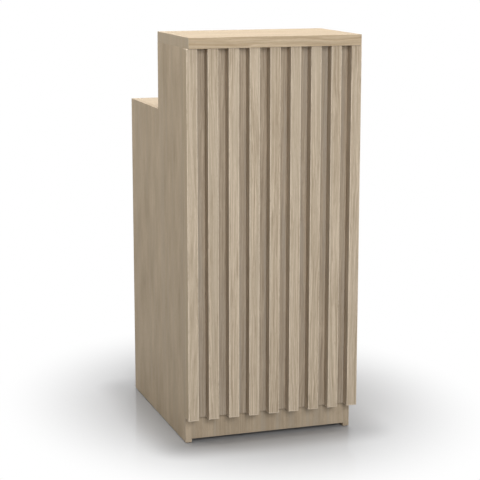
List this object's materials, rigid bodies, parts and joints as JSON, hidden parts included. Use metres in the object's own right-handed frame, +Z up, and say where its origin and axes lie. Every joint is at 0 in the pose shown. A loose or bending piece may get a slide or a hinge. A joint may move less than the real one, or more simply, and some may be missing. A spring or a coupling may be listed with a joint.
{
  "type": "shop counter",
  "caption": "Narrow shop counter with an upright slatted front, a high customer ledge, a lower work surface for staff, and a lockable drawer over an open shelf space.",
  "frame": {"origin": "floor level, in the middle of the counter's box", "axes": "+Z up, +Y towards the staff side, +X to the right as the customer sees it"},
  "size_m": [0.508, 0.658, 1.15],
  "materials": {
    "oak_slat": "pale oak, matt lacquer",
    "oak_board": "pale oak veneer, matt",
    "oak_top": "pale oak veneer, matt",
    "drawer_board": "pale birch, satin",
    "dowel_beech": "bare beech",
    "runner_steel": "zinc plated",
    "zinc_fitting": "die-cast zinc",
    "screw_steel": "zinc plated",
    "handle_steel": "satin",
    "lock_chrome": "polished",
    "black_plastic": "fine matt"
  },
  "bodies": {
    "carcass": {"slat_1": "oak_slat", "slat_2": "oak_slat", "slat_3": "oak_slat", "slat_4": "oak_slat", "slat_5": "oak_slat", "slat_6": "oak_slat", "slat_7": "oak_slat", "slat_8": "oak_slat", "slat_9": "oak_slat", "left_side_panel": "oak_board", "right_side_panel": "oak_board", "front_panel": "oak_board", "bottom_panel": "oak_board", "fixed_shelf": "oak_board", "adjustable_shelf": "oak_board", "rear_rail": "oak_board", "rear_plinth": "oak_board", "slat_backing": "oak_board", "ledge": "oak_top", "worktop": "oak_top", "runner_cabinet_left": "runner_steel", "runner_cabinet_right": "runner_steel", "dowels": "dowel_beech", "cam_discs": "zinc_fitting", "cam_bolts": "zinc_fitting", "shelf_pins": "zinc_fitting", "slat_screws": "screw_steel", "backing_screws": "screw_steel", "runner_screws": "screw_steel", "cable_grommet": "black_plastic", "floor_glides": "black_plastic"},
    "drawer": {"drawer_front": "oak_board", "drawer_left_side": "drawer_board", "drawer_right_side": "drawer_board", "drawer_back": "drawer_board", "drawer_base": "drawer_board", "drawer_dowels": "dowel_beech", "drawer_handle": "handle_steel", "handle_screws": "screw_steel", "runner_drawer_left": "runner_steel", "runner_drawer_right": "runner_steel", "drawer_runner_screws": "screw_steel", "lock_housing": "lock_chrome", "lock_nut": "lock_chrome"},
    "left_runner": {"runner_middle_left": "runner_steel"},
    "right_runner": {"runner_middle_right": "runner_steel"},
    "lock": {"lock_barrel": "lock_chrome", "lock_cam": "lock_chrome", "lock_cam_screw": "lock_chrome"}
  },
  "joints": [
    {"name": "drawer_slide", "type": "slide", "parent": "carcass", "child": "drawer", "axis": [0, 1, 0], "range_m": [0, 0.38]},
    {"name": "left_runner_slide", "type": "slide", "parent": "carcass", "child": "left_runner", "axis": [0, 1, 0], "range_m": [0, 0.19]},
    {"name": "right_runner_slide", "type": "slide", "parent": "carcass", "child": "right_runner", "axis": [0, 1, 0], "range_m": [0, 0.19]},
    {"name": "lock_turn", "type": "hinge", "parent": "drawer", "child": "lock", "pos_m": [0, 0.297, 0.832], "axis": [0, -1, 0], "range_deg": [0, 90]}
  ],
  "couplings": [
    {"joint": "left_runner_slide", "follows": "drawer_slide", "ratio": 0.5},
    {"joint": "right_runner_slide", "follows": "drawer_slide", "ratio": 0.5}
  ]
}
